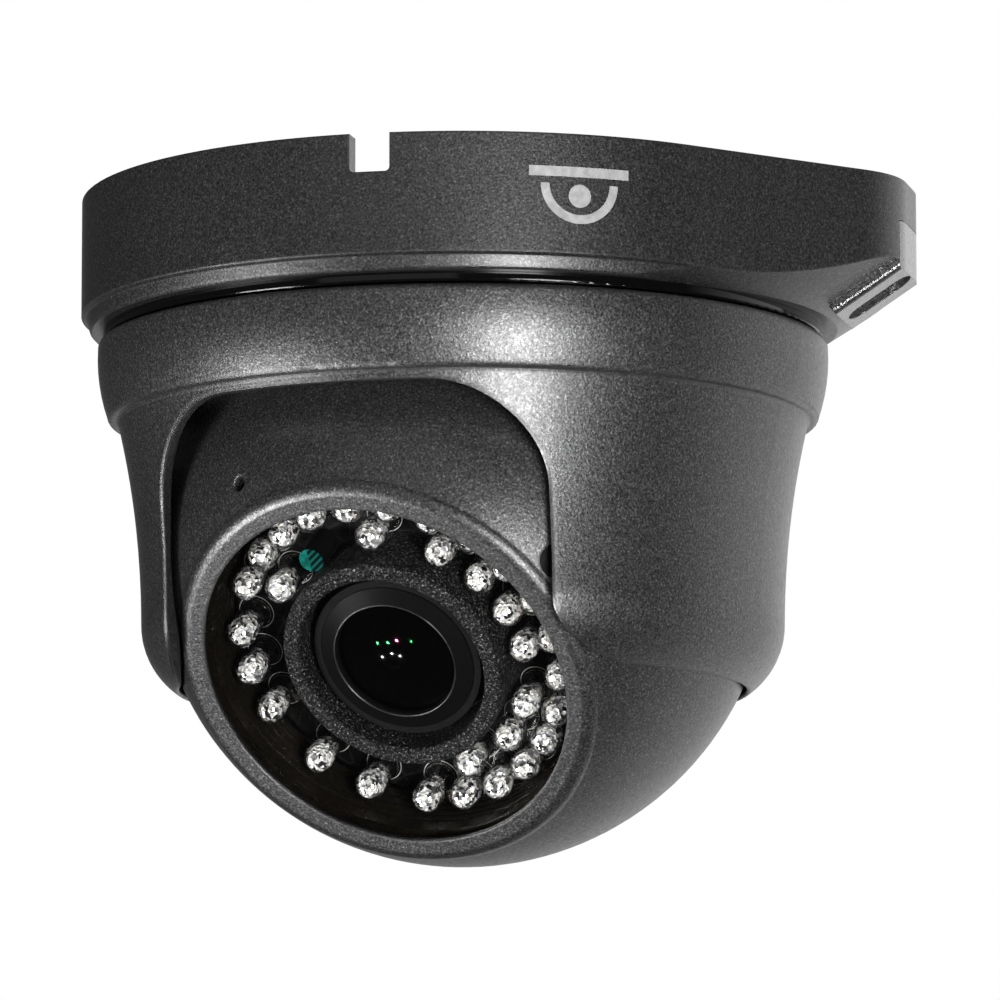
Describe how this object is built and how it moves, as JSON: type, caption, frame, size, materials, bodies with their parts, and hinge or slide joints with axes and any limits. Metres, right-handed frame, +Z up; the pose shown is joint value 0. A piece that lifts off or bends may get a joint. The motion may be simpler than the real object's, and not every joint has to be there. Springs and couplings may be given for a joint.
{
  "type": "dome cctv camera",
  "caption": "Ceiling dome camera: round base with a nose, panning yoke, tilting ball with a round window, infrared LEDs and a varifocal lens.",
  "frame": {"origin": "centre of the ceiling bolt circle, in the base's open top plane that meets the ceiling", "axes": "+Z up into the ceiling, +X out through the base's nose, -Y through the cable notch; the lens looks 11.5 degrees from -Y towards -X and 37.5 degrees down at rest"},
  "size_m": [0.1279, 0.1168, 0.1015],
  "materials": {
    "base_paint": "dark graphite metallic powder coat with fine sparkle",
    "yoke_paint": "graphite metallic powder coat with fine sparkle",
    "ball_paint": "graphite metallic powder coat with fine sparkle",
    "cover_gloss": "glossy graphite paint",
    "gloss_seal": "glossy black moulded seal",
    "screw_steel": "bright machined stainless steel",
    "black_steel": "blackened steel",
    "zinc_plate": "die-cast, as machined",
    "nylon_white": "natural nylon",
    "rubber_black": "matte black rubber",
    "bronze": "turned brass",
    "anodised_black": "black anodised",
    "window_glass": "clear float glass",
    "lens_glass": "coated optical glass",
    "led_epoxy": "clear epoxy over a bright reflector cup",
    "sensor_cell": "teal light sensor under clear resin",
    "collar_foam": "black sponge rubber with an open speckled skin",
    "board_black": "black solder mask",
    "board_green": "green solder mask",
    "sensor_chip": "chip package with a glass lid",
    "connector_white": "moulded nylon",
    "lens_plastic": "moulded black plastic, fine matte",
    "lens_ring": "satin dark grey plastic"
  },
  "bodies": {
    "base": {"base_housing": "base_paint", "nose_cover": "cover_gloss", "nose_cover_screw": "screw_steel", "swivel_seal": "gloss_seal", "slip_ring": "nylon_white"},
    "yoke": {"yoke_housing": "yoke_paint", "yoke_retainer_ring": "zinc_plate", "yoke_retainer_screws": "screw_steel", "tilt_pin_right": "screw_steel", "tilt_pin_left": "screw_steel", "tilt_washer_right": "nylon_white", "tilt_washer_left": "nylon_white"},
    "ball": {"ball_shell": "ball_paint", "ball_rear_cap": "ball_paint", "rear_cap_seal": "rubber_black", "rear_cap_screws": "screw_steel", "cable_gland": "rubber_black", "cable_gland_nut": "zinc_plate", "set_screw": "black_steel", "side_plug": "rubber_black", "window_seal": "rubber_black", "window_glass": "window_glass", "window_retainer": "anodised_black", "pivot_bush_right": "bronze", "pivot_bush_left": "bronze", "guide_ring": "zinc_plate", "guide_clip": "black_steel", "guide_screws": "screw_steel"},
    "camera_module": {"turntable": "anodised_black", "turntable_screws": "screw_steel", "ir_board_standoffs": "bronze", "ir_board": "board_black", "ir_leds_outer": "led_epoxy", "ir_leds_inner": "led_epoxy", "light_sensor": "sensor_cell", "lens_collar": "collar_foam", "lens_tube": "anodised_black", "lens_middle_element": "lens_glass", "lens_rear_element": "lens_glass", "iris_plate": "black_steel", "sensor_holder": "lens_plastic", "ir_cut_filter": "lens_glass", "image_sensor": "sensor_chip", "main_board": "board_green", "power_board": "board_green", "upper_standoffs": "bronze", "lower_standoffs": "bronze", "board_screws": "screw_steel", "board_connectors": "connector_white"},
    "focus_ring": {"focus_barrel": "lens_plastic", "front_lens": "lens_glass", "front_lens_ring": "lens_ring", "focus_lock_knob": "lens_plastic"},
    "zoom_ring": {"zoom_barrel": "lens_plastic", "zoom_lock_knob": "lens_plastic"}
  },
  "joints": [
    {"name": "pan", "type": "hinge", "parent": "base", "child": "yoke", "pos_m": [0, 0, -0.02], "axis": [0, 0, 1], "range_deg": [-177.5, 177.5]},
    {"name": "tilt", "type": "hinge", "parent": "yoke", "child": "ball", "pos_m": [0, 0, -0.0545], "axis": [0.9799, -0.1994, 0], "range_deg": [-17.5, 52.5]},
    {"name": "roll", "type": "hinge", "parent": "ball", "child": "camera_module", "pos_m": [0, 0, -0.0545], "axis": [-0.1582, -0.7774, -0.6088], "range_deg": [-90, 90]},
    {"name": "focus", "type": "hinge", "parent": "camera_module", "child": "focus_ring", "pos_m": [0, 0, -0.0545], "axis": [-0.1582, -0.7774, -0.6088], "range_deg": [-45, 45]},
    {"name": "zoom", "type": "hinge", "parent": "camera_module", "child": "zoom_ring", "pos_m": [0, 0, -0.0545], "axis": [-0.1582, -0.7774, -0.6088], "range_deg": [-45, 45]}
  ]
}
